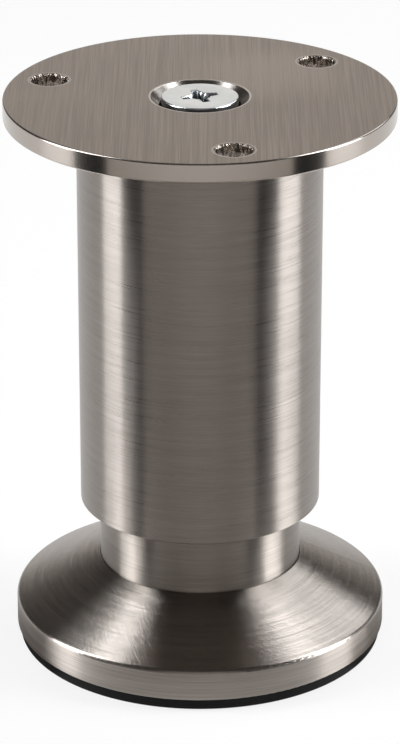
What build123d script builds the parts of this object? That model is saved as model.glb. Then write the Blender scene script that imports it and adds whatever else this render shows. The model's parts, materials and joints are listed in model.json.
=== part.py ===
"""Adjustable cabinet leg, 120 mm high: a round screw-on plate, a brushed tube and a foot that is turned
by hand on an M10 spindle to set the height. Millimetres, +Z up, the origin on the floor under the axis.
"""

from build123d import *
import os
from math import atan, cos, radians, tan

os.makedirs("parts", exist_ok=True)

# Overall height, the plate and the two tubes
leg_height = 120.0
plate_diameter = 80.0
plate_thickness = 4.0
tube_diameter = 50.4
tube_bottom = 31.3
sleeve_diameter = 42.4
tube_wall = 1.5
travel = 10.0  # each way from this height

# Foot: a pressed cone with a short upright band, on a glide that stays still on the floor
foot_diameter = 78.2
cone_top = 18.3
rim_height = 9.0
rim_radius = 1.1
cover_inner_rounding = 0.4
cover_bottom = 2.5
cover_sheet = 1.2
glide_diameter = 76.9

# Screw holes, and the dish in the middle of the plate that takes the screw's head
hole_count = 3
hole_circle = 65.0
hole_diameter = 7.2
hole_rounding = 0.55
plate_rounding = 0.4
dish_mouth = 20.2
dish_bore = 16.6
dish_depth = 6.0
dish_outside = 24.0
dish_floor = 3.1
dish_mouth_rounding = 0.3
dish_corner_rounding = 1.4

# Standard fasteners
screw_major = 8.0
screw_length = 12.0
screw_head_diameter = 15.8
head_rounding = 0.35
drive_width = 7.8
drive_slot = 1.6
drive_turn = 9.0
drive_depth = 3.6
drive_tip = 4.2
drive_tip_slot = 1.1
drive_well = 2.2  # the round middle of the cross, which narrows downwards
drive_well_tip = 1.2
drive_well_depth = 3.4
m8_flats = 13.0
m8_nut_height = 6.5
spindle_major = 10.0
m10_flats = 17.0
m10_head_height = 6.4
m10_nut_height = 8.0
m10_thin_nut_height = 5.0
washer_diameter = 20.0
washer_thickness = 2.0
clip_thickness = 1.0
thread_lead_in = 0.5
thread_end_chamfer = 0.9

# Fits: pressed pieces, threads modelled plain, and the pieces that turn or slide
press_gap = 0.05
thread_gap = 0.08
sliding_gap = 0.1
turning_gap = 0.1
seat_gap = 0.1
stop_gap = 0.45
end_clearance = 0.5
screw_clearance = 0.3
spindle_clearance = 0.5
washer_clearance = 0.25
moulding_gap = 0.3  # between the core's walls and the sheet above them

# Broken edges of metal, and what mouldings have
edge_break = 0.3
fine_edge_break = 0.2
moulded_chamfer = 0.5
overlap = 1.0  # how far ribs and webs run into the walls they join
same_radius = 0.01

# Heights of the inner pieces
plate_underside = leg_height - plate_thickness
head_seat = leg_height - dish_depth
dish_underside = head_seat - dish_floor
core_floor_thickness = 2.5
core_floor = cover_bottom + core_floor_thickness
head_pocket_top = 9.3
hub_top = 18.0
carrier_bottom = 62.5
carrier_height = 12.0
carrier_top = carrier_bottom + carrier_height
sleeve_top = carrier_bottom - travel - end_clearance
clip_bottom = carrier_top + travel + stop_gap
spindle_tail = 2.0
spindle_end = clip_bottom + clip_thickness + spindle_tail
bush_height = 14.0
plug_bottom = 100.0
nut_overhang = 0.2  # how far the plate nut reaches below the screw's end
plate_nut_bottom = head_seat - screw_length - nut_overhang
plate_nut_top = plate_nut_bottom + m8_nut_height
spindle_nut_bottom = carrier_bottom + end_clearance
bush_bottom = tube_bottom + end_clearance

# Radii that several pieces share
tube_inside = tube_diameter / 2 - tube_wall
sleeve_inside = sleeve_diameter / 2 - tube_wall
foot_radius = foot_diameter / 2
cover_inside = foot_radius - cover_sheet
cone_hole = sleeve_diameter / 2 + press_gap
cone_slope = (cone_top - rim_height) / (foot_radius - cone_hole)
cone_angle = atan(cone_slope)
snap_outside = 28.6
snap_wall = 1.6
snap_bead = 0.5
snap_height = 1.6
groove_radius = spindle_major / 2 - 0.6


def cone_underside(radius):
    """Height of the inner face of the sheet cone at a radius."""
    outer_face = cone_top - (radius - cone_hole) * cone_slope
    return outer_face - cover_sheet / cos(cone_angle)


def hexagon_blank(flats, height, base):
    """A hexagon prism standing on a height, with its corners turned off at 30 degrees."""
    corner = flats / 2 / cos(radians(30))
    turned_off = (corner - flats / 2) * tan(radians(30))
    with BuildPart() as blank:
        with BuildSketch(Plane.XY.offset(base)):
            RegularPolygon(flats / 2, 6, major_radius=False)
        extrude(amount=height)
        with BuildSketch(Plane.XZ):
            with BuildLine():
                Polyline(
                    (0, base),
                    (flats / 2, base),
                    (corner, base + turned_off),
                    (corner, base + height - turned_off),
                    (flats / 2, base + height),
                    (0, base + height),
                    close=True,
                )
            make_face()
        revolve(axis=Axis.Z, mode=Mode.INTERSECT)
    return blank.part


def hexagon_nut(flats, height, bore_radius, base):
    """A hexagon nut, its threaded hole a plain bore with a lead-in at both ends."""
    with BuildPart() as nut:
        add(hexagon_blank(flats, height, base))
        with BuildSketch(Plane.XY.offset(base)):
            Circle(bore_radius)
        extrude(amount=height, mode=Mode.SUBTRACT)
        mouths = nut.edges().filter_by(GeomType.CIRCLE).filter_by(
            lambda edge: abs(edge.radius - bore_radius) < same_radius
        )
        chamfer(mouths, length=thread_lead_in)
    return nut.part


def ribbed_plug(bottom, top, pocket_flats, pocket_bottom, pocket_height, bore_radius, hub_radius):
    """A moulded plug for the tube: an outer ring, a hub with a nut pocket, and eight ribs."""
    ring_wall = 2.2
    rib_thickness = 2.0
    rib_count = 8
    web_thickness = 2.5
    web_bottom = (bottom + top - web_thickness) / 2
    with BuildPart() as plug:
        with BuildSketch(Plane.XY.offset(bottom)):
            Circle(tube_inside - press_gap)
            Circle(tube_inside - ring_wall, mode=Mode.SUBTRACT)
            Circle(hub_radius)
        extrude(amount=top - bottom)
        lips = plug.edges().filter_by(GeomType.CIRCLE).group_by(SortBy.RADIUS)[-1]
        chamfer(lips, length=moulded_chamfer)
        with BuildSketch(Plane.XY.offset(bottom + moulded_chamfer)):
            with PolarLocations(0, rib_count):
                Rectangle(tube_inside - overlap, rib_thickness, align=(Align.MIN, Align.CENTER))
            Circle(hub_radius / 2, mode=Mode.SUBTRACT)
        extrude(amount=top - bottom - 2 * moulded_chamfer)
        with BuildSketch(Plane.XY.offset(web_bottom)):
            Circle(tube_inside - overlap)
            Circle(hub_radius / 2, mode=Mode.SUBTRACT)
        extrude(amount=web_thickness)
        with BuildSketch(Plane.XY.offset(bottom)):
            Circle(bore_radius)
        extrude(amount=top - bottom, mode=Mode.SUBTRACT)
        with BuildSketch(Plane.XY.offset(pocket_bottom)):
            RegularPolygon(pocket_flats / 2 + press_gap, 6, major_radius=False)
        extrude(amount=pocket_height, mode=Mode.SUBTRACT)
    return plug.part


# Mounting plate: a round steel disc with a dish pressed down into the tube
with BuildPart() as mounting_plate:
    with BuildSketch(Plane.XZ):
        with BuildLine():
            Polyline(
                (screw_major / 2 + screw_clearance, head_seat),
                (dish_bore / 2, head_seat),
                (dish_bore / 2, leg_height - (dish_mouth - dish_bore) / 2),
                (dish_mouth / 2, leg_height),
                (plate_diameter / 2, leg_height),
                (plate_diameter / 2, plate_underside),
                (dish_outside / 2, plate_underside),
                (dish_outside / 2, dish_underside),
                (screw_major / 2 + screw_clearance, dish_underside),
                close=True,
            )
        make_face()
    revolve(axis=Axis.Z)
    rims = mounting_plate.edges().filter_by(GeomType.CIRCLE).group_by(SortBy.RADIUS)[-1]
    fillet(rims, radius=plate_rounding)
    dish_edges = mounting_plate.edges().filter_by(GeomType.CIRCLE)
    for dish_radius, rounding in (
        (dish_outside / 2, dish_corner_rounding),
        (dish_mouth / 2, dish_mouth_rounding),
    ):
        fillet(
            dish_edges.filter_by(lambda edge: abs(edge.radius - dish_radius) < same_radius),
            radius=rounding,
        )
    with Locations(Plane.XY.offset(leg_height)):
        with PolarLocations(hole_circle / 2, hole_count, start_angle=-90):
            Hole(hole_diameter / 2, depth=plate_thickness + overlap)
    hole_mouths = mounting_plate.edges().filter_by(GeomType.CIRCLE).filter_by(
        lambda edge: abs(edge.radius - hole_diameter / 2) < same_radius
    )
    fillet(hole_mouths.group_by(Axis.Z)[-1], radius=hole_rounding)
    chamfer(hole_mouths.group_by(Axis.Z)[0], length=edge_break)
mounting_plate.part.label = "mounting_plate"
export_step(mounting_plate.part, "parts/mounting_plate.step")

# Plate screw: M8 x 12 pan head with a cross drive, its head level with the top of the plate
with BuildPart() as plate_screw:
    with BuildSketch(Plane.XY.offset(head_seat)):
        Circle(screw_head_diameter / 2)
    extrude(amount=dish_depth)
    fillet(plate_screw.edges().group_by(Axis.Z)[-1], radius=head_rounding)
    chamfer(plate_screw.edges().group_by(Axis.Z)[0], length=edge_break)
    with BuildSketch(Plane.XY.offset(head_seat)):
        Circle(screw_major / 2)
    extrude(amount=-screw_length)
    chamfer(plate_screw.edges().group_by(Axis.Z)[0], length=thread_end_chamfer)
    for depth, length, width in (
        (0.0, drive_width, drive_slot),
        (drive_depth, drive_tip, drive_tip_slot),
    ):
        with BuildSketch(Plane.XY.offset(leg_height - depth)):
            Rectangle(length, width, rotation=drive_turn)
            Rectangle(width, length, rotation=drive_turn)
    loft(ruled=True, mode=Mode.SUBTRACT)
    for depth, radius in ((0.0, drive_well), (drive_well_depth, drive_well_tip)):
        with BuildSketch(Plane.XY.offset(leg_height - depth)):
            RegularPolygon(radius, 8, rotation=drive_turn)
    loft(ruled=True, mode=Mode.SUBTRACT)
plate_screw.part.label = "plate_screw"
export_step(plate_screw.part, "parts/plate_screw.step")

# Outer tube, cut square, with its lower edges just broken
with BuildPart() as outer_tube:
    with BuildSketch(Plane.XY.offset(tube_bottom)):
        Circle(tube_diameter / 2)
        Circle(tube_inside, mode=Mode.SUBTRACT)
    extrude(amount=plate_underside - tube_bottom)
    chamfer(outer_tube.edges().group_by(Axis.Z)[0], length=fine_edge_break)
    chamfer(outer_tube.edges().group_by(Axis.Z)[-1], length=fine_edge_break)
outer_tube.part.label = "outer_tube"
export_step(outer_tube.part, "parts/outer_tube.step")

# Top plug, pressed into the tube: the M8 nut is pulled up against it by the plate screw
dish_room = 1.6
with BuildPart() as top_plug:
    add(
        ribbed_plug(
            bottom=plug_bottom,
            top=plate_underside - seat_gap,
            pocket_flats=m8_flats,
            pocket_bottom=plug_bottom,
            pocket_height=plate_nut_top + press_gap - plug_bottom,
            bore_radius=screw_major / 2 + screw_clearance,
            hub_radius=11.0,
        )
    )
    with BuildSketch(Plane.XY.offset(dish_underside - press_gap)):
        Circle(dish_outside / 2 + dish_room)
    extrude(amount=plate_thickness + dish_depth, mode=Mode.SUBTRACT)
top_plug.part.label = "top_plug"
export_step(top_plug.part, "parts/top_plug.step")

# Plate nut: M8 hexagon nut held in the top plug
with BuildPart() as plate_nut:
    add(hexagon_nut(m8_flats, m8_nut_height, screw_major / 2 + press_gap, plate_nut_bottom))
plate_nut.part.label = "plate_nut"
export_step(plate_nut.part, "parts/plate_nut.step")

# Nut carrier: the second plug, which bears down on the spindle nut part way down the tube
with BuildPart() as nut_carrier:
    add(
        ribbed_plug(
            bottom=carrier_bottom,
            top=carrier_top,
            pocket_flats=m10_flats,
            pocket_bottom=carrier_bottom,
            pocket_height=spindle_nut_bottom + m10_nut_height + press_gap - carrier_bottom,
            bore_radius=spindle_major / 2 + spindle_clearance,
            hub_radius=13.0,
        )
    )
nut_carrier.part.label = "nut_carrier"
export_step(nut_carrier.part, "parts/nut_carrier.step")

# Spindle nut: M10 hexagon nut in which the spindle turns
with BuildPart() as spindle_nut:
    add(
        hexagon_nut(
            m10_flats, m10_nut_height, spindle_major / 2 + thread_gap, spindle_nut_bottom
        )
    )
spindle_nut.part.label = "spindle_nut"
export_step(spindle_nut.part, "parts/spindle_nut.step")

# Guide bush: a split ring in the tube's lower end, in which the sleeve slides and turns
slit_width = 3.0
slit_reach = 8.0
with BuildPart() as guide_bush:
    with BuildSketch(Plane.XY.offset(bush_bottom)):
        Circle(tube_inside - press_gap)
        Circle(sleeve_diameter / 2 + sliding_gap, mode=Mode.SUBTRACT)
        with Locations((0, tube_inside)):
            Rectangle(slit_width, slit_reach, mode=Mode.SUBTRACT)
    extrude(amount=bush_height)
    bush_rims = guide_bush.edges().filter_by(GeomType.CIRCLE)
    chamfer(bush_rims.group_by(Axis.Z)[0], length=moulded_chamfer)
    chamfer(bush_rims.group_by(Axis.Z)[-1], length=moulded_chamfer)
guide_bush.part.label = "guide_bush"
export_step(guide_bush.part, "parts/guide_bush.step")

# Sleeve: the inner tube, which shows between the outer tube and the cone
with BuildPart() as sleeve:
    with BuildSketch(Plane.XY.offset(core_floor)):
        Circle(sleeve_diameter / 2)
        Circle(sleeve_inside, mode=Mode.SUBTRACT)
    extrude(amount=sleeve_top - core_floor)
    chamfer(sleeve.edges().group_by(Axis.Z)[-1], length=edge_break)
sleeve.part.label = "sleeve"
export_step(sleeve.part, "parts/sleeve.step")

# Foot cover: sheet pressed to a cone with a rounded rim and an upright band
with BuildPart() as foot_cover:
    with BuildSketch(Plane.XZ) as cover_section:
        with BuildLine():
            Polyline(
                (cone_hole, cone_top),
                (foot_radius, rim_height),
                (foot_radius, cover_bottom),
                (cover_inside, cover_bottom),
                (cover_inside, cone_underside(cover_inside)),
                (cone_hole, cone_underside(cone_hole)),
                close=True,
            )
        make_face()
        for corner, rounding in (
            ((foot_radius, rim_height), rim_radius),
            ((cover_inside, cone_underside(cover_inside)), cover_inner_rounding),
            ((foot_radius, cover_bottom), edge_break),
            ((cone_hole, cone_top), fine_edge_break),
        ):
            fillet(cover_section.vertices().sort_by_distance(corner)[0], radius=rounding)
    revolve(axis=Axis.Z)
foot_cover.part.label = "foot_cover"
export_step(foot_cover.part, "parts/foot_cover.step")

# Base core: a ribbed moulding under the cone that holds the sleeve and the spindle's head
core_radius = cover_inside - press_gap
core_rib_count = 12
core_rib_thickness = 1.8
socket_wall = 2.0
spigot_wall = 2.2
spigot_top = 24.0
hub_radius = 12.5
slot_inside = snap_outside - snap_wall - turning_gap
slot_outside = snap_outside + turning_gap
core_wall_top = cone_underside(cover_inside) - moulding_gap
socket_top = cone_underside(sleeve_diameter / 2 + press_gap + socket_wall) - moulding_gap
bead_room = 0.3
bead_room_height = 2.2
inner_rib_drop = 2.0
with BuildPart() as base_core:
    with BuildSketch(Plane.XY.offset(cover_bottom)):
        Circle(core_radius)
    extrude(amount=core_floor_thickness)
    with BuildSketch(Plane.XY.offset(cover_bottom)):
        Circle(core_radius)
        Circle(core_radius - socket_wall, mode=Mode.SUBTRACT)
    extrude(amount=core_wall_top - cover_bottom)
    with BuildSketch(Plane.XY.offset(cover_bottom)):
        Circle(sleeve_diameter / 2 + press_gap + socket_wall)
        Circle(sleeve_diameter / 2 + press_gap, mode=Mode.SUBTRACT)
    extrude(amount=socket_top - cover_bottom)
    with BuildSketch(Plane.XY.offset(cover_bottom)):
        Circle(sleeve_inside - press_gap)
        Circle(sleeve_inside - spigot_wall, mode=Mode.SUBTRACT)
    extrude(amount=spigot_top - cover_bottom)
    with BuildSketch(Plane.XY.offset(cover_bottom)):
        Circle(hub_radius)
    extrude(amount=hub_top - cover_bottom)
    rib_inner = sleeve_diameter / 2 + overlap
    rib_outer = core_radius - overlap
    for index in range(core_rib_count):
        rib_plane = Plane.XZ.rotated((0, 0, index * 360 / core_rib_count))
        with BuildSketch(rib_plane):
            with BuildLine():
                Polyline(
                    (rib_inner, cover_bottom + overlap),
                    (rib_outer, cover_bottom + overlap),
                    (rib_outer, cone_underside(rib_outer) - moulding_gap),
                    (rib_inner, cone_underside(rib_inner) - moulding_gap),
                    close=True,
                )
            make_face()
        extrude(amount=core_rib_thickness / 2, both=True)
    with BuildSketch(Plane.XY.offset(cover_bottom)):
        with PolarLocations(0, core_rib_count // 2):
            Rectangle(sleeve_inside - overlap, core_rib_thickness, align=(Align.MIN, Align.CENTER))
        Circle(hub_radius / 2, mode=Mode.SUBTRACT)
    extrude(amount=hub_top - inner_rib_drop - cover_bottom)
    with BuildSketch(Plane.XY.offset(cover_bottom)):
        Circle(slot_outside)
        Circle(slot_inside, mode=Mode.SUBTRACT)
    extrude(amount=core_floor_thickness, mode=Mode.SUBTRACT)
    with BuildSketch(Plane.XY.offset(core_floor)):
        Circle(slot_outside + snap_bead + bead_room)
        Circle(slot_inside - bead_room, mode=Mode.SUBTRACT)
    extrude(amount=bead_room_height, mode=Mode.SUBTRACT)
    with BuildSketch(Plane.XY.offset(core_floor)):
        Circle(sleeve_diameter / 2 + press_gap)
        Circle(sleeve_inside - press_gap, mode=Mode.SUBTRACT)
    extrude(amount=spigot_top, mode=Mode.SUBTRACT)
    with BuildSketch(Plane.XY.offset(cover_bottom)):
        Circle(spindle_major / 2 + press_gap)
    extrude(amount=hub_top, mode=Mode.SUBTRACT)
    with BuildSketch(Plane.XY.offset(cover_bottom)):
        RegularPolygon(m10_flats / 2 + press_gap, 6, major_radius=False)
    extrude(amount=head_pocket_top + press_gap - cover_bottom, mode=Mode.SUBTRACT)
base_core.part.label = "base_core"
export_step(base_core.part, "parts/base_core.step")

# Spindle: an M10 hexagon screw, head down in the core, with a clip groove near its upper end
with BuildPart() as spindle:
    add(hexagon_blank(m10_flats, m10_head_height, head_pocket_top - m10_head_height))
    with BuildSketch(Plane.XY.offset(head_pocket_top)):
        Circle(spindle_major / 2)
    extrude(amount=spindle_end - head_pocket_top)
    chamfer(spindle.edges().group_by(Axis.Z)[-1], length=thread_end_chamfer)
    with BuildSketch(Plane.XY.offset(clip_bottom - press_gap)):
        Circle(spindle_major / 2)
        Circle(groove_radius, mode=Mode.SUBTRACT)
    extrude(amount=clip_thickness + 2 * press_gap, mode=Mode.SUBTRACT)
spindle.part.label = "spindle"
export_step(spindle.part, "parts/spindle.step")

# Washer and thin nut that clamp the spindle to the core, inside the sleeve
with BuildPart() as spindle_washer:
    with BuildSketch(Plane.XY.offset(hub_top)):
        Circle(washer_diameter / 2)
        Circle(spindle_major / 2 + washer_clearance, mode=Mode.SUBTRACT)
    extrude(amount=washer_thickness)
    chamfer(spindle_washer.edges().group_by(Axis.Z)[-1], length=fine_edge_break)
spindle_washer.part.label = "spindle_washer"
export_step(spindle_washer.part, "parts/spindle_washer.step")

with BuildPart() as clamp_nut:
    add(
        hexagon_nut(
            m10_flats,
            m10_thin_nut_height,
            spindle_major / 2 + press_gap,
            hub_top + washer_thickness,
        )
    )
clamp_nut.part.label = "clamp_nut"
export_step(clamp_nut.part, "parts/clamp_nut.step")

# Stop clip: an open ring in the spindle's groove, which ends the travel when the foot is screwed out
clip_outside = 7.6
clip_ear_angle = 22.0
clip_ear_reach = 7.0
clip_ear_radius = 1.9
clip_eye_radius = 0.7
clip_slit = 2.2
with BuildPart() as stop_clip:
    with BuildSketch(Plane.XY.offset(clip_bottom)):
        Circle(clip_outside)
        with PolarLocations(clip_ear_reach, 2, start_angle=-clip_ear_angle, angular_range=2 * clip_ear_angle):
            Circle(clip_ear_radius)
        Circle(groove_radius + press_gap, mode=Mode.SUBTRACT)
        with PolarLocations(clip_ear_reach, 2, start_angle=-clip_ear_angle, angular_range=2 * clip_ear_angle):
            Circle(clip_eye_radius, mode=Mode.SUBTRACT)
        with Locations((clip_outside, 0)):
            Rectangle(clip_outside, clip_slit, mode=Mode.SUBTRACT)
    extrude(amount=clip_thickness)
stop_clip.part.label = "stop_clip"
export_step(stop_clip.part, "parts/stop_clip.step")

# Floor glide: a moulded disc under the foot, with a snap ring that turns in the core's slot
glide_top = cover_bottom - turning_gap
land_width = 7.0
field_depth = 0.8
glide_rounding = 0.5
glide_boss_radius = 9.0
glide_rib_count = 12
glide_rib_thickness = 1.6
snap_gap_count = 6
snap_gap_width = 4.0
snap_gap_reach = 6.0
snap_gap_turn = 15.0
with BuildPart() as floor_glide:
    with BuildSketch(Plane.XY):
        Circle(glide_diameter / 2)
    extrude(amount=glide_top)
    fillet(floor_glide.edges().group_by(Axis.Z)[0], radius=glide_rounding)
    with BuildSketch(Plane.XY):
        Circle(glide_diameter / 2 - land_width)
        Circle(glide_boss_radius, mode=Mode.SUBTRACT)
        with PolarLocations(0, glide_rib_count):
            Rectangle(
                glide_diameter / 2,
                glide_rib_thickness,
                align=(Align.MIN, Align.CENTER),
                mode=Mode.SUBTRACT,
            )
    extrude(amount=field_depth, mode=Mode.SUBTRACT)
    with BuildSketch(Plane.XZ):
        with BuildLine():
            Polyline(
                (snap_outside - snap_wall, glide_top),
                (snap_outside, glide_top),
                (snap_outside, core_floor + turning_gap),
                (snap_outside + snap_bead, core_floor + turning_gap),
                (snap_outside, core_floor + snap_height),
                (snap_outside - snap_wall, core_floor + snap_height),
                close=True,
            )
        make_face()
    revolve(axis=Axis.Z)
    with BuildSketch(Plane.XY.offset(glide_top)):
        with PolarLocations(snap_outside, snap_gap_count, start_angle=snap_gap_turn):
            Rectangle(snap_gap_reach, snap_gap_width)
    extrude(amount=core_floor + snap_height - glide_top, mode=Mode.SUBTRACT)
floor_glide.part.label = "floor_glide"
export_step(floor_glide.part, "parts/floor_glide.step")
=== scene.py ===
"""The adjustable cabinet leg in a plain studio: the finish of each piece, the screw threads, the lamps and the camera.

Lengths are in metres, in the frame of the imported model: the floor is at z = 0 and the leg's axis is the z axis.
Angles are in degrees. An azimuth is counted round the leg from the camera's side, positive to its right.
"""

import json
import math

import bmesh
import bpy
from mathutils import Matrix, Vector

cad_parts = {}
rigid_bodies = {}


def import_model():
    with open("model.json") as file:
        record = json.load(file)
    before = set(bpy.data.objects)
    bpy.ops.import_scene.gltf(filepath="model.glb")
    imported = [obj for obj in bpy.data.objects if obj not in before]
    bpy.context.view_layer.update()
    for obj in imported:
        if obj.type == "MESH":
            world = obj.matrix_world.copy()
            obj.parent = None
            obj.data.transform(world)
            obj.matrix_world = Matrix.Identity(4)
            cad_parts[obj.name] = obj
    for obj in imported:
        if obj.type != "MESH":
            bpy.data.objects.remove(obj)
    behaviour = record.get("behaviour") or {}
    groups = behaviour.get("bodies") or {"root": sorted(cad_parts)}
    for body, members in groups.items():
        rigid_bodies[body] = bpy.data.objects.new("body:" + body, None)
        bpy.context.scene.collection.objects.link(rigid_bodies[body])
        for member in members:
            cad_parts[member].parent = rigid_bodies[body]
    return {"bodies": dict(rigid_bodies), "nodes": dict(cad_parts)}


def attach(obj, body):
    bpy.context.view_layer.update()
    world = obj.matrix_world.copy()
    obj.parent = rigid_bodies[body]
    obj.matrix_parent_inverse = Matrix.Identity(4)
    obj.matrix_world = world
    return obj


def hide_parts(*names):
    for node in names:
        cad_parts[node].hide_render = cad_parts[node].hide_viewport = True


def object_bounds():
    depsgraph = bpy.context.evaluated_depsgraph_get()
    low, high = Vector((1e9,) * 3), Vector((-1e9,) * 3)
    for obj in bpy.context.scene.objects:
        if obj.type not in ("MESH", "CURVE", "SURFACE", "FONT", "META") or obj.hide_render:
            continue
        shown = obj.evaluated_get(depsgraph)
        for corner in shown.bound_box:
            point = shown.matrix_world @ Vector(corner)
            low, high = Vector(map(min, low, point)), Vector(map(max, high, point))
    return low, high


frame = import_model()
cad_low, cad_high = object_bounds()

# Camera: it looks down on the leg, and stands a little to the left of the leg's front
CAMERA_AZIMUTH = -11.8
CAMERA_DISTANCE = 0.700
CAMERA_HEIGHT = 0.3636
CAMERA_TILT = 23.51
CAMERA_LENS = 176.8
CLIP_NEAR = 0.01
CLIP_FAR = 12.0

# Lamps: two tall boxes stand beside the leg, and small ones hang above it, to its sides and behind it
TALL_BOX_DISTANCE = 0.80
TALL_BOX_HEIGHT = 1.20
HIGH_BOX_DISTANCE = 1.10
LAMP_TINT = (0.940, 0.972, 1.0)

# Flags, cloths and cards round the foot, and dark sheets beside it that stand in for the foot's shadow on the floor,
# which only the metal's reflections show
TUBE_RADIUS = 0.0252
FOOT_RADIUS = 0.0391
CLOTH_LIFT = 0.0004
FLAG_START = 0.050
FLAG_END = 0.50
FLAG_HEIGHT = 0.90
CARD_START = 0.030
CARD_END = 0.085
CARD_GLOW = 2.8
SHADOW_SHEET_START = 0.0005
SHADOW_SHEET_END = 0.026
BLACK_CLOTH = (0.01, 0.01, 0.01, 1.0)
FRONT_CLOTH = (0.41, 0.37, 0.335, 1.0)
SHADOW_SHEET = (0.30, 0.27, 0.25, 1.0)

# Floor: FLOOR_WHITE is how far it turns to white for the camera and in reflections
FLOOR_RADIUS = 4.0
FLOOR_CORNERS = 128
FLOOR_DROP = 0.00005
FLOOR_COLOUR = (0.88, 0.865, 0.85, 1.0)
FLOOR_WHITE = 0.80
WHITE = (1.0, 1.0, 1.0, 1.0)

# World: a band at the horizon, a glow behind the leg and a weaker one before it, and dark everywhere else
HORIZON_LOW = 0.02
HORIZON_HIGH = 0.06
HORIZON_GLOW = 0.82
GLOW_ELEVATION = 18.0
GLOW_MIDDLE = 10.0
GLOW_EDGE = 28.0
BACK_GLOW = 0.84
FRONT_GLOW = 0.45
WORLD_DARK = 0.070
WORLD_TINT = (1.0, 0.955, 0.91, 1.0)

# Patterns: where a noise has most of its values, and how fine lines and coarse waves are made up
NOISE_LOW = 0.30
NOISE_MIDDLE = 0.50
NOISE_HIGH = 0.70
LINES_LOW = 0.25
LINES_HIGH = 0.75
FINE_DETAIL = 3.0
COARSE_DETAIL = 2.0
FINE_SHARE = 0.7
COARSE_SHARE = 0.3
AXIS_MARGIN = 0.0001

# Nickel brushed round the axis: lines in a metre across the brushing, and how quickly they change round the axis
NICKEL = (0.330, 0.297, 0.270, 1.0)
NICKEL_SHADE = (0.235, 0.210, 0.190, 1.0)
SLEEVE_NICKEL = (0.365, 0.328, 0.296, 1.0)
EDGE_NICKEL = (0.410, 0.368, 0.332, 1.0)
TURNED_LINES = 6800.0
TURNED_CHANGE = 2.0
TURNED_WAVES = 816.0
TURNED_WAVE_CHANGE = 1.2
TURNED_BUMP = 0.5
TURNED_DEPTH = 0.00003
QUARTER_TURN = 0.25

# Foot: scratches that cross its turned lines, and a rougher upright band below BAND_TOP
BAND_TOP = 0.0080
BAND_BLEND = 0.0008
BAND_ROUGHER = 0.13
SWIRL_LINES = 130.0
SWIRL_BREAKS = 14.0
SWIRL_TONE = 0.3
SWIRL_DEPTH = 1.3

# Plate: straight lines on the level faces, in a metre across and along the brushing, which is turned from the y axis
BRUSHING_ANGLE = -11.8
PLATE_NICKEL = (0.322, 0.273, 0.236, 1.0)
PLATE_SHADE = (0.203, 0.170, 0.144, 1.0)
PLATE_LINES = (5200.0, 38.0, 1.0)
PLATE_WAVES = (1500.0, 12.0, 1.0)
PLATE_CLOUDS = 38.0
PLATE_CLOUD_SHARE = 0.12
PLATE_TONE_LOW = 0.41
PLATE_TONE_HIGH = 0.63
PLATE_SMOOTHEST = 0.32
PLATE_ROUGHEST = 0.42
PLATE_ONE_WAY = 0.85
PLATE_DEPTH = 0.00007
LEVEL_FROM = 0.93
LEVEL_FULL = 0.97
# A painted sheen: a lighter spot on the plate's top that stands in for a soft reflection
SHEEN_SPOT = (0.0165, 0.0110, 0.1200)
SHEEN_INNER = 0.003
SHEEN_OUTER = 0.021
SHEEN_LIGHTER = 0.16

# Plate: the walls of its dish and of its three screw holes, and the painted highlights, bright lines round their mouths
WALL_INSIDE = 0.0375
DISH_OUTSIDE = 0.0125
WALL_BLEND = 0.001
HOLE_NICKEL = (0.500, 0.435, 0.380, 1.0)
HOLE_SHADE = (0.082, 0.068, 0.056, 1.0)
HOLE_ROUGHNESS = 0.20
DISH_ROUGHNESS = 0.29
DRILL_MARKS = (1500.0, 1500.0, 600.0)
DRILL_LOW = 0.40
DRILL_HIGH = 0.60
DRILL_STREAK_LOW = 0.47
DRILL_STREAK_HIGH = 0.55
DRILL_SMOOTHER = -0.03
DRILL_ROUGHER = 0.14
DRILL_DEPTH = 0.0005
# The painted highlight round the mouths: its colour and how far it is mixed in
MOUTH_HIGHLIGHT = (0.780, 0.740, 0.700, 1.0)
MOUTH_HIGHLIGHT_SHARE = 0.6
MOUTH_RADIUS = 0.01022
MOUTH_LINE = 0.00022
HOLE_CIRCLE = 0.0325
HOLE_ANGLES = (-90.0, 30.0, 150.0)
HOLE_LINE_RADIUS = 0.00425
HOLE_LINE = 0.00022
HOLE_LINE_SHARE = 0.5

# Zinc: painted shade darkens the inside of the cross in the head of the plate screw, and the side of the head
ZINC_DULL = (0.68, 0.72, 0.74, 1.0)
ZINC_BRIGHT = (0.84, 0.87, 0.88, 1.0)
ZINC_CLOUDS = 260.0
ZINC_CLOUD_DETAIL = 4.0
ZINC_PITS = 2600.0
ZINC_SMOOTHEST = 0.18
ZINC_ROUGHEST = 0.27
ZINC_BUMP = 0.22
ZINC_DEPTH = 0.00003
# The near-black colour of the painted shade
PAINTED_SHADE = (0.020, 0.020, 0.021, 1.0)
CROSS_REACH = 0.0041
CROSS_REACH_BLEND = 0.0003
CROSS_BOTTOM = 0.1155
CROSS_BOTTOM_BLEND = 0.0002
CROSS_DARK = 0.1180
CROSS_LIGHT = 0.1195
SIDE_FULL = 0.25
SIDE_END = 0.60
SIDE_SHARE = 0.70

# Spring steel and plastics
SPRING_DARK = (0.045, 0.045, 0.050, 1.0)
SPRING_LIGHT = (0.085, 0.085, 0.090, 1.0)
SPRING_GRAIN = 3200.0
SPRING_SMOOTHEST = 0.42
SPRING_ROUGHEST = 0.60
SPRING_METAL = 0.85
INSERT_DARK = (0.07, 0.07, 0.074, 1.0)
INSERT_LIGHT = (0.11, 0.11, 0.115, 1.0)
GLIDE_DARK = (0.003, 0.003, 0.003, 1.0)
GLIDE_LIGHT = (0.006, 0.006, 0.006, 1.0)
PLASTIC_FLOW = 90.0
PLASTIC_BUMP = 0.25
PLASTIC_DEPTH = 0.00004
PLASTIC_SHINE = 0.12

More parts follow.
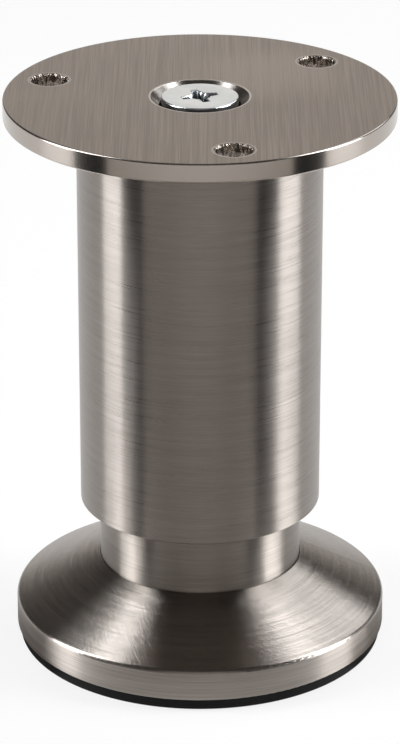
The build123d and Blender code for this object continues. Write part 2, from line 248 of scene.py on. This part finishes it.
# Screw threads: outer and root radius and pitch of M8 and M10, and where each threaded length runs
M8 = {"Outer Radius": 0.0040, "Root Radius": 0.003233, "Pitch": 0.00125, "End Radius": 0.0031}
M10 = {"Outer Radius": 0.0050, "Root Radius": 0.004080, "Pitch": 0.0015, "End Radius": 0.0040}
SCREW_SEAT = 0.1140
SCREW_END = 0.1020
SPINDLE_SHOULDER = 0.0093
GROOVE_LOW = 0.0849
GROOVE_HIGH = 0.0860
GROOVE_RADIUS = 0.0044
SPINDLE_END = 0.08795
OVERLAP = 0.0004
THREAD_COLUMNS = 48
ROWS_A_TURN = 4.0
SPARE_TURNS = 3.0
TURNS_BELOW = 2.0
SHARP_ANGLE = 30.0
LARGE_FACES_LEAD = 100
MERGE = 0.000001
SEAT_MARGIN = 0.00001


def towards(azimuth, distance=1.0, height=0.0):
    """The point at that azimuth, distance from the leg's axis and height."""
    turn = math.radians(CAMERA_AZIMUTH + azimuth)
    return Vector((math.sin(turn) * distance, -math.cos(turn) * distance, height))


# Nodes


def add(tree, kind, inputs=None, **settings):
    """A node with its properties set, and its inputs set or linked."""
    made = tree.nodes.new(kind)
    for name, value in settings.items():
        setattr(made, name, value)
    for name, value in (inputs or {}).items():
        socket = made.inputs[name]
        if isinstance(value, bpy.types.NodeSocket):
            tree.links.new(value, socket)
        else:
            socket.default_value = value
    return made


def calc(tree, operation, first, second=0.0):
    """The output of one Math node."""
    return add(tree, "ShaderNodeMath", {0: first, 1: second}, operation=operation).outputs[0]


def plus(tree, first, second):
    return calc(tree, "ADD", first, second)


def minus(tree, first, second):
    return calc(tree, "SUBTRACT", first, second)


def times(tree, first, second):
    return calc(tree, "MULTIPLY", first, second)


def near_to(tree, value, centre, margin):
    """1 where value is within margin of centre, and 0 elsewhere."""
    return add(tree, "ShaderNodeMath", {0: value, 1: centre, 2: margin}, operation="COMPARE").outputs[0]


def span(tree, value, low, high, to_low=0.0, to_high=1.0, smooth=False):
    """value carried from the range low..high to the range to_low..to_high, and held at its ends."""
    made = add(
        tree,
        "ShaderNodeMapRange",
        {"Value": value, "From Min": low, "From Max": high, "To Min": to_low, "To Max": to_high},
        interpolation_type="SMOOTHSTEP" if smooth else "LINEAR",
    )
    return made.outputs["Result"]


def mixed(tree, share, first, second):
    """A colour between first and second. A colour Mix node has its sockets at 0, 6 and 7, and its result at 2."""
    return add(tree, "ShaderNodeMix", {0: share, 6: first, 7: second}, data_type="RGBA").outputs[2]


def noise(tree, vector, scale, detail=COARSE_DETAIL):
    return add(tree, "ShaderNodeTexNoise", {"Vector": vector, "Scale": scale, "Detail": detail}).outputs["Fac"]


def scaled(tree, vector, scale):
    return add(tree, "ShaderNodeMapping", {"Vector": vector, "Scale": scale}).outputs[0]


def joined(tree, x, y, z):
    return add(tree, "ShaderNodeCombineXYZ", {"X": x, "Y": y, "Z": z}).outputs[0]


def distance_to(tree, vector, point):
    return add(tree, "ShaderNodeVectorMath", {0: vector, 1: point}, operation="DISTANCE").outputs["Value"]


def bump(tree, height, strength, depth, **below):
    """The surface's direction after a bump, which may lie on another one, given as Normal."""
    inputs = {"Strength": strength, "Distance": depth, "Height": height, **below}
    return add(tree, "ShaderNodeBump", inputs).outputs["Normal"]


def object_xyz(tree):
    """Object coordinates as one vector and as three numbers."""
    vector = add(tree, "ShaderNodeTexCoord").outputs["Object"]
    parts = add(tree, "ShaderNodeSeparateXYZ", {"Vector": vector})
    return vector, parts.outputs["X"], parts.outputs["Y"], parts.outputs["Z"]


def from_axis(tree, x, y):
    """The distance from the z axis."""
    return calc(tree, "SQRT", plus(tree, times(tree, x, x), times(tree, y, y)))


def levelness(tree):
    """1 on a face that looks straight up or down, and 0 on an upright one."""
    normal = add(tree, "ShaderNodeTexCoord").outputs["Normal"]
    return calc(tree, "ABSOLUTE", add(tree, "ShaderNodeSeparateXYZ", {"Vector": normal}).outputs["Z"])


def new_material(name):
    """An empty material with its Principled shader and output."""
    material = bpy.data.materials.new(name)
    material.use_nodes = True
    tree = material.node_tree
    tree.nodes.clear()
    shader = add(tree, "ShaderNodeBsdfPrincipled")
    add(tree, "ShaderNodeOutputMaterial", {"Surface": shader.outputs["BSDF"]})
    return material, tree, shader


# Finishes


def fine_over_coarse(tree, fine, coarse):
    return plus(tree, times(tree, fine, FINE_SHARE), times(tree, coarse, COARSE_SHARE))


def turned_grain(tree):
    """Fine lines that run round the z axis, as on a piece brushed while it turns. Gives the lines and a coarse wave."""
    _, x, y, z = object_xyz(tree)
    radius = from_axis(tree, x, y)
    safe = calc(tree, "MAXIMUM", radius, AXIS_MARGIN)
    across = minus(tree, radius, z)

    def lines(change, per_metre, detail):
        round_x = times(tree, calc(tree, "DIVIDE", x, safe), change)
        round_y = times(tree, calc(tree, "DIVIDE", y, safe), change)
        return noise(tree, joined(tree, round_x, round_y, times(tree, across, per_metre)), 1.0, detail)

    return (
        lines(TURNED_CHANGE, TURNED_LINES, FINE_DETAIL),
        lines(TURNED_WAVE_CHANGE, TURNED_WAVES, COARSE_DETAIL),
    )


def slanted_grain(tree):
    """Short scratches that cross the turned lines at 45 degrees, along spirals round the z axis."""
    _, x, y, z = object_xyz(tree)
    radius = calc(tree, "MAXIMUM", from_axis(tree, x, y), AXIS_MARGIN)
    outward = calc(tree, "LOGARITHM", radius, math.e)
    cosine, sine = calc(tree, "COSINE", outward), calc(tree, "SINE", outward)
    along_x = plus(tree, times(tree, x, cosine), times(tree, y, sine))
    along_y = minus(tree, times(tree, y, cosine), times(tree, x, sine))
    round_x = times(tree, calc(tree, "DIVIDE", along_x, radius), SWIRL_LINES)
    round_y = times(tree, calc(tree, "DIVIDE", along_y, radius), SWIRL_LINES)
    return noise(tree, joined(tree, round_x, round_y, times(tree, outward, SWIRL_BREAKS)), 1.0)


def brushed_round(name, smoothest, roughest, colour=NICKEL, band_top=0.0):
    """Nickel brushed round the axis: tube, sleeve and foot. A foot has crossing scratches above band_top."""
    material, tree, shader = new_material(name)
    fine, coarse = turned_grain(tree)
    tone = fine_over_coarse(tree, fine, coarse)
    relief = fine
    level = span(tree, fine, LINES_LOW, LINES_HIGH, smoothest, roughest)
    if band_top:
        on_cone = span(tree, object_xyz(tree)[3], band_top, band_top + BAND_BLEND)
        slanted = times(tree, minus(tree, slanted_grain(tree), NOISE_MIDDLE), on_cone)
        tone = plus(tree, tone, times(tree, slanted, SWIRL_TONE))
        relief = plus(tree, fine, times(tree, slanted, SWIRL_DEPTH))
        level = plus(tree, level, span(tree, on_cone, 0.0, 1.0, BAND_ROUGHER, 0.0))
    tone = span(tree, tone, NOISE_LOW, NOISE_HIGH)
    tree.links.new(mixed(tree, tone, NICKEL_SHADE, colour), shader.inputs["Base Color"])
    tree.links.new(level, shader.inputs["Roughness"])
    tree.links.new(bump(tree, relief, TURNED_BUMP, TURNED_DEPTH), shader.inputs["Normal"])
    tangent = add(tree, "ShaderNodeTangent", direction_type="RADIAL", axis="Z")
    tree.links.new(tangent.outputs["Tangent"], shader.inputs["Tangent"])
    shader.inputs["Metallic"].default_value = 1.0
    shader.inputs["Anisotropic"].default_value = 1.0
    shader.inputs["Anisotropic Rotation"].default_value = QUARTER_TURN
    return material


def brushed_plate(name):
    """Nickel plate: straight lines on its top and bottom, turned metal on its edge, and drilled or pressed holes."""
    material, tree, shader = new_material(name)
    vector, x, y, z = object_xyz(tree)
    radius = from_axis(tree, x, y)

    # Straight lines, a coarse wave, a faint cloud and a painted sheen: a lighter spot that stands in for a soft
    # reflection
    turned = add(tree, "ShaderNodeMapping", {"Vector": vector, "Rotation": (0.0, 0.0, math.radians(-BRUSHING_ANGLE))})
    fine = noise(tree, scaled(tree, turned.outputs[0], PLATE_LINES), 1.0, FINE_DETAIL)
    coarse = noise(tree, scaled(tree, turned.outputs[0], PLATE_WAVES), 1.0)
    cloud = noise(tree, vector, PLATE_CLOUDS)
    sheen = span(tree, distance_to(tree, vector, SHEEN_SPOT), SHEEN_INNER, SHEEN_OUTER, 1.0, 0.0, smooth=True)
    lightness = plus(tree, fine_over_coarse(tree, fine, coarse), times(tree, sheen, SHEEN_LIGHTER))
    lightness = plus(tree, lightness, times(tree, minus(tree, cloud, NOISE_MIDDLE), PLATE_CLOUD_SHARE))
    brushed = mixed(tree, span(tree, lightness, PLATE_TONE_LOW, PLATE_TONE_HIGH), PLATE_SHADE, PLATE_NICKEL)

    # Where the surface is level, and where it is a wall of the dish or of a screw hole
    flat = span(tree, levelness(tree), LEVEL_FROM, LEVEL_FULL)
    inner = span(tree, radius, WALL_INSIDE, WALL_INSIDE + WALL_BLEND, 1.0, 0.0)
    beyond_dish = span(tree, radius, DISH_OUTSIDE, DISH_OUTSIDE + WALL_BLEND)
    in_hole = times(tree, inner, times(tree, beyond_dish, span(tree, flat, 0.0, 1.0, 1.0, 0.0)))
    drilled = noise(tree, scaled(tree, vector, DRILL_MARKS), 1.0, FINE_DETAIL)
    streak = times(tree, in_hole, span(tree, drilled, DRILL_STREAK_LOW, DRILL_STREAK_HIGH))
    wall = mixed(tree, inner, EDGE_NICKEL, NICKEL)
    wall = mixed(tree, in_hole, wall, HOLE_NICKEL)
    wall = mixed(tree, streak, wall, HOLE_SHADE)

    # Painted highlights: bright lines painted round the mouths of the dish and the three holes
    highlight = near_to(tree, radius, MOUTH_RADIUS, MOUTH_LINE)
    for angle in HOLE_ANGLES:
        turn = math.radians(angle)
        centre = (HOLE_CIRCLE * math.cos(turn), HOLE_CIRCLE * math.sin(turn), cad_high.z)
        line = near_to(tree, distance_to(tree, vector, centre), HOLE_LINE_RADIUS, HOLE_LINE)
        highlight = calc(tree, "MAXIMUM", highlight, times(tree, line, HOLE_LINE_SHARE))
    highlight = times(tree, highlight, MOUTH_HIGHLIGHT_SHARE)
    colour = mixed(tree, flat, wall, brushed)
    tree.links.new(mixed(tree, highlight, colour, MOUTH_HIGHLIGHT), shader.inputs["Base Color"])

    roughness = span(tree, fine, LINES_LOW, LINES_HIGH, PLATE_SMOOTHEST, PLATE_ROUGHEST)
    wall_roughness = plus(
        tree,
        times(tree, in_hole, span(tree, drilled, DRILL_LOW, DRILL_HIGH, DRILL_SMOOTHER, DRILL_ROUGHER)),
        span(tree, radius, DISH_OUTSIDE, DISH_OUTSIDE + WALL_BLEND, DISH_ROUGHNESS, HOLE_ROUGHNESS),
    )
    level = add(tree, "ShaderNodeMix", {0: flat, 2: wall_roughness, 3: roughness}, data_type="FLOAT")
    tree.links.new(level.outputs[0], shader.inputs["Roughness"])
    brushing = bump(tree, fine, flat, PLATE_DEPTH)
    tree.links.new(bump(tree, drilled, in_hole, DRILL_DEPTH, Normal=brushing), shader.inputs["Normal"])
    turn = math.radians(BRUSHING_ANGLE)
    across = {0: flat, 4: (0.0, 0.0, 1.0), 5: (math.cos(turn), math.sin(turn), 0.0)}
    tree.links.new(add(tree, "ShaderNodeMix", across, data_type="VECTOR").outputs[1], shader.inputs["Tangent"])
    shader.inputs["Metallic"].default_value = 1.0
    shader.inputs["Anisotropic"].default_value = PLATE_ONE_WAY
    return material


def zinc(name):
    """Bright zinc plate with a slight blue cast and a faint cloud, with painted shade in the cross and round the side
    of the head.
    """
    material, tree, shader = new_material(name)
    vector, x, y, z = object_xyz(tree)
    cloud = noise(tree, vector, ZINC_CLOUDS, ZINC_CLOUD_DETAIL)
    plated = mixed(tree, span(tree, cloud, NOISE_LOW, NOISE_HIGH), ZINC_DULL, ZINC_BRIGHT)
    # Painted shade: inside the cross and on the side of the head the colour is mixed towards near black
    in_reach = span(tree, from_axis(tree, x, y), CROSS_REACH, CROSS_REACH + CROSS_REACH_BLEND, 1.0, 0.0)
    in_cross = times(tree, span(tree, z, CROSS_DARK, CROSS_LIGHT, 1.0, 0.0), in_reach)
    in_cross = times(tree, in_cross, span(tree, z, CROSS_BOTTOM, CROSS_BOTTOM + CROSS_BOTTOM_BLEND))
    on_side = span(tree, levelness(tree), SIDE_FULL, SIDE_END, SIDE_SHARE, 0.0)
    on_side = times(tree, on_side, span(tree, z, SCREW_SEAT, CROSS_BOTTOM))
    colour = mixed(tree, in_cross, mixed(tree, on_side, plated, PAINTED_SHADE), PAINTED_SHADE)
    tree.links.new(colour, shader.inputs["Base Color"])
    level = span(tree, cloud, NOISE_LOW, NOISE_HIGH, ZINC_SMOOTHEST, ZINC_ROUGHEST)
    tree.links.new(level, shader.inputs["Roughness"])
    tree.links.new(bump(tree, noise(tree, vector, ZINC_PITS), ZINC_BUMP, ZINC_DEPTH), shader.inputs["Normal"])
    shader.inputs["Metallic"].default_value = 1.0
    return material


def phosphated(name):
    """Dark phosphated spring steel."""
    material, tree, shader = new_material(name)
    grain = noise(tree, object_xyz(tree)[0], SPRING_GRAIN, FINE_DETAIL)
    colour = mixed(tree, span(tree, grain, NOISE_LOW, NOISE_HIGH), SPRING_DARK, SPRING_LIGHT)
    tree.links.new(colour, shader.inputs["Base Color"])
    level = span(tree, grain, NOISE_LOW, NOISE_HIGH, SPRING_SMOOTHEST, SPRING_ROUGHEST)
    tree.links.new(level, shader.inputs["Roughness"])
    shader.inputs["Metallic"].default_value = SPRING_METAL
    return material


def moulded(name, dark, light, smoothest, roughest, grain_size):
    """Moulded plastic with a fine spark-eroded grain."""
    material, tree, shader = new_material(name)
    vector = object_xyz(tree)[0]
    grain = noise(tree, vector, 1.0 / grain_size, FINE_DETAIL)
    flow = noise(tree, vector, PLASTIC_FLOW)
    tree.links.new(mixed(tree, span(tree, flow, NOISE_LOW, NOISE_HIGH), dark, light), shader.inputs["Base Color"])
    tree.links.new(span(tree, grain, NOISE_LOW, NOISE_HIGH, smoothest, roughest), shader.inputs["Roughness"])
    tree.links.new(bump(tree, grain, PLASTIC_BUMP, PLASTIC_DEPTH), shader.inputs["Normal"])
    shader.inputs["Specular IOR Level"].default_value = PLASTIC_SHINE
    return material


tube_nickel = brushed_round("nickel_brushed_tube", smoothest=0.26, roughest=0.33)
sleeve_nickel = brushed_round("nickel_brushed_sleeve", smoothest=0.30, roughest=0.37, colour=SLEEVE_NICKEL)
foot_nickel = brushed_round(
    "nickel_brushed_foot", smoothest=0.19, roughest=0.25, colour=EDGE_NICKEL, band_top=BAND_TOP
)
plate_nickel = brushed_plate("nickel_brushed_straight")
bright_zinc = zinc("bright_zinc")
dark_spring = phosphated("phosphated_spring")
insert_plastic = moulded(
    "insert_plastic", INSERT_DARK, INSERT_LIGHT, smoothest=0.45, roughest=0.62, grain_size=0.0004
)
glide_plastic = moulded("glide_plastic", GLIDE_DARK, GLIDE_LIGHT, smoothest=0.42, roughest=0.60, grain_size=0.0003)

finish_of = {
    "mounting_plate": plate_nickel,
    "outer_tube": tube_nickel,
    "sleeve": sleeve_nickel,
    "foot_cover": foot_nickel,
    "plate_screw": bright_zinc,
    "plate_nut": bright_zinc,
    "spindle_nut": bright_zinc,
    "spindle": bright_zinc,
    "spindle_washer": bright_zinc,
    "clamp_nut": bright_zinc,
    "stop_clip": dark_spring,
    "top_plug": insert_plastic,
    "nut_carrier": insert_plastic,
    "base_core": insert_plastic,
    "guide_bush": glide_plastic,
    "floor_glide": glide_plastic,
}
for node_name, finish in finish_of.items():
    for held in frame["nodes"][node_name].material_slots:
        held.material = finish


# Screw threads


def thread_tree():
    """Geometry Nodes for a threaded rod on the z axis: a grid wound into a thread, narrower at both ends and closed."""
    tree = bpy.data.node_groups.new("threaded_rod", "GeometryNodeTree")
    for name in ("Outer Radius", "Root Radius", "Pitch", "End Radius", "Bottom", "Top"):
        tree.interface.new_socket(name, in_out="INPUT", socket_type="NodeSocketFloat")
    tree.interface.new_socket("Finish", in_out="INPUT", socket_type="NodeSocketMaterial")
    tree.interface.new_socket("Geometry", in_out="OUTPUT", socket_type="NodeSocketGeometry")
    size = add(tree, "NodeGroupInput").outputs
    length = minus(tree, size["Top"], size["Bottom"])
    turns = plus(tree, calc(tree, "CEIL", calc(tree, "DIVIDE", length, size["Pitch"])), SPARE_TURNS)
    last_row = times(tree, turns, ROWS_A_TURN)
    rows = plus(tree, last_row, 1.0)
    grid = add(
        tree,
        "GeometryNodeMeshGrid",
        {"Size X": 1.0, "Size Y": 1.0, "Vertices X": THREAD_COLUMNS + 1, "Vertices Y": rows},
    )

    # The grid lies from -0.5 to 0.5 both ways: its x becomes the share of a turn, and its y the row
    place = add(tree, "ShaderNodeSeparateXYZ", {"Vector": add(tree, "GeometryNodeInputPosition").outputs[0]})
    round_share = plus(tree, place.outputs["X"], 0.5)
    row = calc(tree, "ROUND", times(tree, plus(tree, place.outputs["Y"], 0.5), last_row))

    # Each turn has four rows: the two edges of the root, then the two edges of the crest. They stand at 0, 4/16, 9/16
    # and 11/16 of the pitch, which gives a metric thread's flats and flanks
    turn = calc(tree, "FLOOR", calc(tree, "DIVIDE", plus(tree, row, 0.5), ROWS_A_TURN))
    edge = minus(tree, row, times(tree, turn, ROWS_A_TURN))
    on_crest = calc(tree, "GREATER_THAN", edge, 1.5)
    crest_end = calc(tree, "GREATER_THAN", edge, 2.5)
    part = plus(tree, times(tree, edge, 1 / 4), times(tree, on_crest, 1 / 16))
    part = minus(tree, part, times(tree, crest_end, 1 / 8))
    climb = minus(tree, plus(tree, plus(tree, turn, part), round_share), TURNS_BELOW)
    height = plus(tree, size["Bottom"], times(tree, climb, size["Pitch"]))
    height = calc(tree, "MINIMUM", calc(tree, "MAXIMUM", height, size["Bottom"]), size["Top"])

    depth = minus(tree, size["Outer Radius"], size["Root Radius"])
    radius = plus(tree, size["Root Radius"], times(tree, on_crest, depth))
    from_bottom = minus(tree, height, size["Bottom"])
    from_top = minus(tree, size["Top"], height)
    from_end = calc(tree, "MINIMUM", from_bottom, from_top)
    radius = calc(tree, "MINIMUM", radius, plus(tree, size["End Radius"], from_end))
    past_first = calc(tree, "GREATER_THAN", row, 0.5)
    before_last = calc(tree, "LESS_THAN", row, minus(tree, last_row, 0.5))
    radius = times(tree, radius, times(tree, past_first, before_last))
    angle = times(tree, round_share, math.tau)
    round_x = times(tree, radius, calc(tree, "COSINE", angle))
    round_y = times(tree, radius, calc(tree, "SINE", angle))
    wound = joined(tree, round_x, round_y, height)
    rod = add(tree, "GeometryNodeSetPosition", {"Geometry": grid.outputs["Mesh"], "Position": wound})
    closed = add(tree, "GeometryNodeMergeByDistance", {"Geometry": rod.outputs[0], "Distance": MERGE})
    real = add(tree, "GeometryNodeRealizeInstances", {"Geometry": closed.outputs[0]})
    finished = add(tree, "GeometryNodeSetMaterial", {"Geometry": real.outputs[0], "Material": size["Finish"]})
    add(tree, "NodeGroupOutput", {"Geometry": finished.outputs[0]})
    return tree


def threaded_rod(tree, sizes, bottom, top, finish):
    """The plain mesh of one threaded rod."""
    holder = bpy.data.objects.new("rod", bpy.data.meshes.new("rod"))
    bpy.context.scene.collection.objects.link(holder)
    modifier = holder.modifiers.new("thread", "NODES")
    modifier.node_group = tree
    values = dict(sizes, Bottom=bottom, Top=top, Finish=finish)
    for item in tree.interface.items_tree:
        if item.in_out == "INPUT":
            modifier[item.identifier] = values[item.name]
    evaluated = holder.evaluated_get(bpy.context.evaluated_depsgraph_get())
    mesh = bpy.data.meshes.new_from_object(evaluated)
    bpy.data.objects.remove(holder)
    return mesh


def head_of(node_name, seat, above):
    """The head of a screw, copied from its solid and closed where its shank began."""
    shape = bmesh.new()
    shape.from_mesh(frame["nodes"][node_name].data)
    bmesh.ops.remove_doubles(shape, verts=shape.verts, dist=MERGE)
    side = 1.0 if above else -1.0
    shank = [corner for corner in shape.verts if (corner.co.z - seat) * side < -SEAT_MARGIN]
    bmesh.ops.delete(shape, geom=shank, context="VERTS")
    rim = [edge for edge in shape.edges if edge.is_boundary]
    bmesh.ops.holes_fill(shape, edges=rim, sides=0)
    bmesh.ops.recalc_face_normals(shape, faces=shape.faces)
    return shape


def threaded_piece(name, shape, rods, finish):
    """One piece of the head and its threaded rods, with smooth rounds, sharp edges and evenly shaded flat faces."""
    for rod in rods:
        shape.from_mesh(rod)
        bpy.data.meshes.remove(rod)
    for face in shape.faces:
        face.material_index = 0
    mesh = bpy.data.meshes.new(name)
    shape.to_mesh(mesh)
    shape.free()
    mesh.materials.clear()
    mesh.materials.append(finish)
    mesh.shade_smooth()
    mesh.set_sharp_from_angle(angle=math.radians(SHARP_ANGLE))
    made = bpy.data.objects.new(name, mesh)
    bpy.context.scene.collection.objects.link(made)
    even = made.modifiers.new("even_normals", "WEIGHTED_NORMAL")
    even.mode = "FACE_AREA"
    even.weight = LARGE_FACES_LEAD
    even.keep_sharp = True
    evaluated = made.evaluated_get(bpy.context.evaluated_depsgraph_get())
    finished = bpy.data.meshes.new_from_object(evaluated)
    made.modifiers.clear()
    made.data = finished
    bpy.data.meshes.remove(mesh)
    finished.name = name
    return made


thread = thread_tree()
plate_screw_threaded = threaded_piece(
    "plate_screw_threaded",
    head_of("plate_screw", SCREW_SEAT, above=True),
    [threaded_rod(thread, M8, SCREW_END, SCREW_SEAT + OVERLAP, bright_zinc)],
    bright_zinc,
)
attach(plate_screw_threaded, "leg")
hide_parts("plate_screw")

spindle_shape = head_of("spindle", SPINDLE_SHOULDER, above=False)
neck_centre = Vector((0.0, 0.0, (GROOVE_LOW + GROOVE_HIGH) / 2))
bmesh.ops.create_cone(
    spindle_shape,
    cap_ends=True,
    segments=THREAD_COLUMNS,
    radius1=GROOVE_RADIUS,
    radius2=GROOVE_RADIUS,
    depth=GROOVE_HIGH - GROOVE_LOW + 2 * OVERLAP,
    matrix=Matrix.Translation(neck_centre),
)
spindle_threaded = threaded_piece(
    "spindle_threaded",
    spindle_shape,
    [
        threaded_rod(thread, M10, SPINDLE_SHOULDER - OVERLAP, GROOVE_LOW, bright_zinc),
        threaded_rod(thread, M10, GROOVE_HIGH, SPINDLE_END, bright_zinc),
    ],
    bright_zinc,
)
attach(spindle_threaded, "foot")
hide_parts("spindle")


# Studio


def soft_box(name, azimuth, elevation, distance, width, height, radiance):
    """A rectangular lamp that faces the middle of the leg, at that elevation above the floor round it."""
    lamp = bpy.data.lights.new(name, "AREA")
    lamp.shape = "RECTANGLE"
    lamp.size = width
    lamp.size_y = height
    lamp.energy = radiance * math.pi * width * height
    lamp.color = LAMP_TINT
    made = bpy.data.objects.new(name, lamp)
    bpy.context.scene.collection.objects.link(made)
    rise = math.radians(elevation)
    made.location = towards(azimuth, distance * math.cos(rise), distance * math.sin(rise))
    made.rotation_euler = (-made.location).to_track_quat("-Z", "Y").to_euler()
    made.visible_camera = False
    return made


def tall_box(name, azimuth, width, radiance):
    """A tall lamp that stands on the floor beside the leg."""
    made = soft_box(name, azimuth, 0.0, TALL_BOX_DISTANCE, width, TALL_BOX_HEIGHT, radiance)
    made.location.z = TALL_BOX_HEIGHT / 2


def high_box(name, azimuth, elevation, width, height, radiance):
    """A small lamp that hangs above the leg."""
    soft_box(name, azimuth, elevation, HIGH_BOX_DISTANCE, width, height, radiance)


tall_box("left_box", azimuth=-85.0, width=0.33, radiance=8.2)
tall_box("right_box", azimuth=88.5, width=0.35, radiance=8.6)
high_box("left_top_box", azimuth=-128.0, elevation=62.5, width=0.16, height=0.24, radiance=3.6)
high_box("left_high_box", azimuth=-97.0, elevation=61.0, width=0.18, height=0.24, radiance=8.0)
high_box("left_far_box", azimuth=-154.0, elevation=65.0, width=0.18, height=0.24, radiance=1.1)
high_box("right_top_box", azimuth=137.0, elevation=44.5, width=0.42, height=0.67, radiance=2.6)
high_box("right_high_box", azimuth=97.0, elevation=60.0, width=0.20, height=0.27, radiance=6.4)
high_box("right_far_box", azimuth=168.0, elevation=66.0, width=0.18, height=0.24, radiance=0.6)


def cloth(name, near_azimuth, far_azimuth, start, end, colour, height=0.0, from_radius=TUBE_RADIUS, glow=0.0):
    """Cloth or card that lies on the floor between two azimuths, and may rise at its far end.

    start and end are counted outwards from a circle of from_radius round the leg.
    """
    near, far = (towards(azimuth) for azimuth in (near_azimuth, far_azimuth))
    near_foot, far_foot = (towards(azimuth / 2, from_radius) for azimuth in (near_azimuth, far_azimuth))
    lift = Vector((0.0, 0.0, height))
    low = Vector((0.0, 0.0, CLOTH_LIFT))
    points = [
        near_foot + near * start + low,
        far_foot + far * start + low,
        far_foot + far * end + low,
        near_foot + near * end + low,
        far_foot + far * end + lift,
        near_foot + near * end + lift,
    ]
    faces = [(0, 1, 2, 3), (3, 2, 4, 5)] if height else [(0, 1, 2, 3)]
    mesh = bpy.data.meshes.new(name)
    mesh.from_pydata(points, [], faces)
    made = bpy.data.objects.new(name, mesh)
    bpy.context.scene.collection.objects.link(made)
    material, _, shader = new_material(name + "_cloth")
    shader.inputs["Base Color"].default_value = colour
    shader.inputs["Roughness"].default_value = 1.0
    shader.inputs["Specular IOR Level"].default_value = 0.0
    shader.inputs["Emission Color"].default_value = WHITE
    shader.inputs["Emission Strength"].default_value = glow
    mesh.materials.append(material)
    made.visible_camera = False
    made.visible_shadow = False
    made.visible_diffuse = False
    made.parent = frame["bodies"]["glide"]


cloth("left_flag", -54.0, -76.0, FLAG_START, FLAG_END, BLACK_CLOTH, height=FLAG_HEIGHT)
cloth("right_flag", 54.0, 76.0, FLAG_START, FLAG_END, BLACK_CLOTH, height=FLAG_HEIGHT)
cloth("front_cloth", -54.0, 54.0, FLAG_START, FLAG_END, FRONT_CLOTH)
cloth("left_card", -72.0, -93.0, CARD_START, CARD_END, BLACK_CLOTH, glow=CARD_GLOW)
cloth("right_card", 82.0, 106.0, CARD_START, CARD_END, BLACK_CLOTH, glow=CARD_GLOW)
# Painted shadow: dark sheets beside the foot stand in for its shadow on the floor there, seen only in the metal's
# reflections
cloth("left_shadow_sheet", -98.0, -176.0, SHADOW_SHEET_START, SHADOW_SHEET_END, SHADOW_SHEET, from_radius=FOOT_RADIUS)
cloth("right_shadow_sheet", 108.0, 176.0, SHADOW_SHEET_START, SHADOW_SHEET_END, SHADOW_SHEET, from_radius=FOOT_RADIUS)


def studio_floor():
    """A plain pale disc that stays under the glide. From below it is see-through."""
    mesh = bpy.data.meshes.new("studio_floor")
    rim = []
    for corner in range(FLOOR_CORNERS):
        turn = math.tau * corner / FLOOR_CORNERS
        rim.append((FLOOR_RADIUS * math.cos(turn), FLOOR_RADIUS * math.sin(turn), -FLOOR_DROP))
    mesh.from_pydata(rim, [], [tuple(range(FLOOR_CORNERS))])
    made = bpy.data.objects.new("studio_floor", mesh)
    bpy.context.scene.collection.objects.link(made)
    material, tree, shader = new_material("pale_floor")
    shader.inputs["Base Color"].default_value = FLOOR_COLOUR
    shader.inputs["Roughness"].default_value = 1.0
    shader.inputs["Specular IOR Level"].default_value = 0.0

    # The camera, and what metal and clear plastic show, get a whiter floor that keeps the leg's shadow
    path = add(tree, "ShaderNodeLightPath").outputs
    seen = calc(tree, "MAXIMUM", path["Is Camera Ray"], path["Is Glossy Ray"])
    seen = calc(tree, "MAXIMUM", seen, path["Is Transmission Ray"])
    white = add(tree, "ShaderNodeEmission", {"Color": WHITE, "Strength": 1.0})
    share = times(tree, seen, FLOOR_WHITE)
    whitened = add(tree, "ShaderNodeMixShader", {0: share, 1: shader.outputs["BSDF"], 2: white.outputs["Emission"]})
    from_below = add(tree, "ShaderNodeNewGeometry").outputs["Backfacing"]
    clear = add(tree, "ShaderNodeBsdfTransparent")
    sided = add(tree, "ShaderNodeMixShader", {0: from_below, 1: whitened.outputs["Shader"], 2: clear.outputs["BSDF"]})
    tree.links.new(sided.outputs["Shader"], tree.nodes["Material Output"].inputs["Surface"])
    mesh.materials.append(material)
    made.parent = frame["bodies"]["glide"]


def studio_world():
    """Pale near the horizon and behind the leg, dimmer before it, and dark overhead and beside it."""
    world = bpy.data.worlds.new("studio")
    bpy.context.scene.world = world
    world.use_nodes = True
    tree = world.node_tree
    tree.nodes.clear()
    direction = add(tree, "ShaderNodeTexCoord").outputs["Generated"]
    height = add(tree, "ShaderNodeSeparateXYZ", {"Vector": direction}).outputs["Z"]
    low = span(tree, height, HORIZON_LOW, HORIZON_HIGH, 1.0, 0.0, smooth=True)
    strength = times(tree, low, HORIZON_GLOW)
    edge, middle = math.cos(math.radians(GLOW_EDGE)), math.cos(math.radians(GLOW_MIDDLE))
    rise = math.radians(GLOW_ELEVATION)
    for azimuth, glow in ((180.0, BACK_GLOW), (0.0, FRONT_GLOW)):
        centre = tuple(towards(azimuth, math.cos(rise), math.sin(rise)))
        facing = add(tree, "ShaderNodeVectorMath", {0: direction, 1: centre}, operation="DOT_PRODUCT").outputs["Value"]
        level = span(tree, facing, edge, middle, WORLD_DARK, glow, smooth=True)
        strength = calc(tree, "MAXIMUM", strength, level)
    tint = mixed(tree, low, WORLD_TINT, WHITE)
    background = add(tree, "ShaderNodeBackground", {"Color": tint, "Strength": strength})
    add(tree, "ShaderNodeOutputWorld", {"Surface": background.outputs[0]})


studio_floor()
studio_world()

lens = bpy.data.cameras.new("camera")
lens.lens = CAMERA_LENS
lens.clip_start = CLIP_NEAR
lens.clip_end = CLIP_FAR
camera = bpy.data.objects.new("camera", lens)
bpy.context.scene.collection.objects.link(camera)
camera.location = towards(0.0, CAMERA_DISTANCE, CAMERA_HEIGHT)
camera.rotation_euler = (math.radians(90.0 - CAMERA_TILT), 0.0, math.radians(CAMERA_AZIMUTH))
bpy.context.scene.camera = camera
bpy.context.scene.view_settings.view_transform = "Standard"
